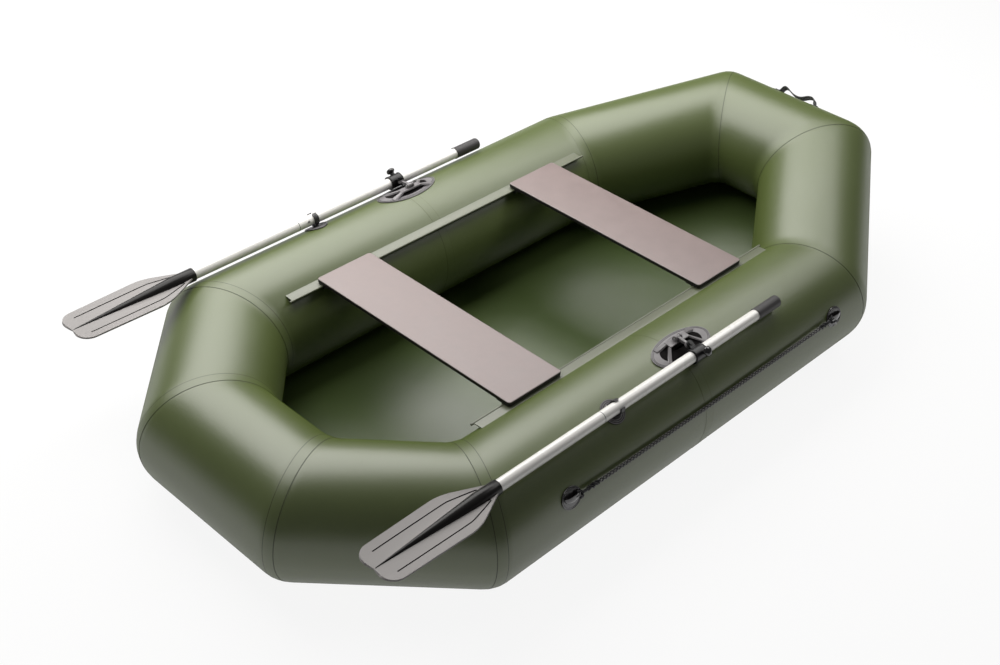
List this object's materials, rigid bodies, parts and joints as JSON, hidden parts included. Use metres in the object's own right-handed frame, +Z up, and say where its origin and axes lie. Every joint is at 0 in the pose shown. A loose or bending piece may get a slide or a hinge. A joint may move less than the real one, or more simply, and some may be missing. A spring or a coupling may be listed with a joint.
{
  "type": "inflatable rowing boat",
  "caption": "Oval inflatable rowing boat with a raised bow, a coated fabric hull of round tubes, bench seats on rails, hinged oarlocks with stowed oars and grab lines.",
  "frame": {"origin": "bottom centre of the hull: under the middle of its length and width, on the underside of the floor sheet", "axes": "+X towards the bow, +Y to port, +Z up"},
  "size_m": [2.42, 1.3078, 0.4592],
  "materials": {
    "hull_pvc": "satin coated fabric",
    "floor_pvc": "satin coated fabric",
    "rail_pvc": "matt coated fabric",
    "bench_ply": "varnished plywood",
    "runner_plastic": "black anodised extrusion",
    "steel": "plated",
    "spring_steel": "spring wire",
    "grip_rubber": "moulded",
    "shaft_white": "white powder coat on aluminium tube",
    "blade_plastic": "moulded",
    "pad_rubber": "moulded",
    "black_rubber": "moulded",
    "black_plastic": "moulded",
    "webbing": "woven polyester",
    "rope": "braided polypropylene",
    "valve_plastic": "moulded"
  },
  "bodies": {
    "hull": {"bow_handle_pads": "black_rubber", "bow_handle_strap": "webbing", "bulkhead_port": "hull_pvc", "bulkhead_starboard": "hull_pvc", "floor_sheet": "floor_pvc", "grab_line_port": "rope", "grab_line_starboard": "rope", "line_eyes_port": "black_rubber", "line_eyes_starboard": "black_rubber", "line_knots": "rope", "lock_base_port": "pad_rubber", "lock_base_starboard": "pad_rubber", "lock_dip_pin_port": "steel", "lock_dip_pin_starboard": "steel", "oar_clip_port": "black_rubber", "oar_clip_starboard": "black_rubber", "seat_rail_port": "rail_pvc", "seat_rail_starboard": "rail_pvc", "tube_bow": "hull_pvc", "tube_quarter_bow_port": "hull_pvc", "tube_quarter_bow_starboard": "hull_pvc", "tube_quarter_stern_port": "hull_pvc", "tube_quarter_stern_starboard": "hull_pvc", "tube_side_port": "hull_pvc", "tube_side_starboard": "hull_pvc", "tube_stern": "hull_pvc", "valve_body_bow": "valve_plastic", "valve_body_stern": "valve_plastic", "valve_spring_bow": "spring_steel", "valve_spring_stern": "spring_steel"},
    "arm_port": {"lock_arm_port": "black_plastic", "lock_swing_pin_port": "steel"},
    "oar_port": {"oar_collar_port": "black_plastic", "oar_upper_shaft_port": "shaft_white", "oar_lower_shaft_port": "shaft_white", "oar_blade_port": "blade_plastic", "oar_grip_port": "grip_rubber", "snap_spring_port": "spring_steel"},
    "button_port": {"snap_button_port": "black_plastic"},
    "knob_port": {"clamp_knob_port": "black_plastic"},
    "arm_starboard": {"lock_arm_starboard": "black_plastic", "lock_swing_pin_starboard": "steel"},
    "oar_starboard": {"oar_collar_starboard": "black_plastic", "oar_upper_shaft_starboard": "shaft_white", "oar_lower_shaft_starboard": "shaft_white", "oar_blade_starboard": "blade_plastic", "oar_grip_starboard": "grip_rubber", "snap_spring_starboard": "spring_steel"},
    "button_starboard": {"snap_button_starboard": "black_plastic"},
    "knob_starboard": {"clamp_knob_starboard": "black_plastic"},
    "stern_bench": {"stern_bench_board": "bench_ply", "stern_bench_runners": "runner_plastic", "stern_bench_screws": "steel"},
    "plunger_stern": {"valve_plunger_stern": "black_plastic"},
    "cap_stern": {"valve_cap_stern": "valve_plastic"},
    "bow_bench": {"bow_bench_board": "bench_ply", "bow_bench_runners": "runner_plastic", "bow_bench_screws": "steel"},
    "plunger_bow": {"valve_plunger_bow": "black_plastic"},
    "cap_bow": {"valve_cap_bow": "valve_plastic"}
  },
  "joints": [
    {"name": "oar_dip_port", "type": "hinge", "parent": "hull", "child": "arm_port", "pos_m": [-0.068, 0.50144, 0.35935], "axis": [1, 0, 0], "range_deg": [0, 28], "deforming": ["oar_clip_port"]},
    {"name": "oar_swing_port", "type": "hinge", "parent": "arm_port", "child": "oar_port", "pos_m": [-0.068, 0.5403, 0.35855], "axis": [0, -0.5, -0.866], "range_deg": [0, 105], "deforming": ["oar_clip_port"]},
    {"name": "clamp_knob_turn_port", "type": "hinge", "parent": "oar_port", "child": "knob_port", "pos_m": [-0.06, 0.56715, 0.34305], "axis": [0, 0.809, 0.5878], "range_deg": [0, 360]},
    {"name": "snap_button_press_port", "type": "slide", "parent": "oar_port", "child": "button_port", "axis": [0, 0.866, -0.5], "range_m": [0, 0.0046], "stiffness_N_per_m": 600, "springref_m": -0.002, "deforming": ["snap_spring_port"]},
    {"name": "oar_dip_starboard", "type": "hinge", "parent": "hull", "child": "arm_starboard", "pos_m": [-0.068, -0.50144, 0.35935], "axis": [-1, 0, 0], "range_deg": [0, 28], "deforming": ["oar_clip_starboard"]},
    {"name": "oar_swing_starboard", "type": "hinge", "parent": "arm_starboard", "child": "oar_starboard", "pos_m": [-0.068, -0.5403, 0.35855], "axis": [0, -0.5, 0.866], "range_deg": [0, 105], "deforming": ["oar_clip_starboard"]},
    {"name": "clamp_knob_turn_starboard", "type": "hinge", "parent": "oar_starboard", "child": "knob_starboard", "pos_m": [-0.06, -0.56715, 0.34305], "axis": [0, -0.809, 0.5878], "range_deg": [0, 360]},
    {"name": "snap_button_press_starboard", "type": "slide", "parent": "oar_starboard", "child": "button_starboard", "axis": [0, -0.866, -0.5], "range_m": [0, 0.0046], "stiffness_N_per_m": 600, "springref_m": -0.002, "deforming": ["snap_spring_starboard"]},
    {"name": "stern_bench_slide", "type": "slide", "parent": "hull", "child": "stern_bench", "axis": [1, 0, 0], "range_m": [-0.095, 0.26]},
    {"name": "bow_bench_slide", "type": "slide", "parent": "hull", "child": "bow_bench", "axis": [1, 0, 0], "range_m": [-0.26, 0.1]},
    {"name": "valve_press_stern", "type": "slide", "parent": "hull", "child": "plunger_stern", "axis": [0, -0.9945, -0.1045], "range_m": [0, 0.004], "stiffness_N_per_m": 400, "springref_m": -0.002, "deforming": ["valve_spring_stern"]},
    {"name": "valve_cap_turn_stern", "type": "hinge", "parent": "hull", "child": "cap_stern", "pos_m": [-0.56, -0.30295, 0.18928], "axis": [0, 0.9945, 0.1045], "range_deg": [0, 90]},
    {"name": "valve_press_bow", "type": "slide", "parent": "hull", "child": "plunger_bow", "axis": [0, -0.9945, -0.1045], "range_m": [0, 0.004], "stiffness_N_per_m": 400, "springref_m": -0.002, "deforming": ["valve_spring_bow"]},
    {"name": "valve_cap_turn_bow", "type": "hinge", "parent": "hull", "child": "cap_bow", "pos_m": [0.44, -0.30295, 0.18928], "axis": [0, 0.9945, 0.1045], "range_deg": [0, 90]}
  ]
}
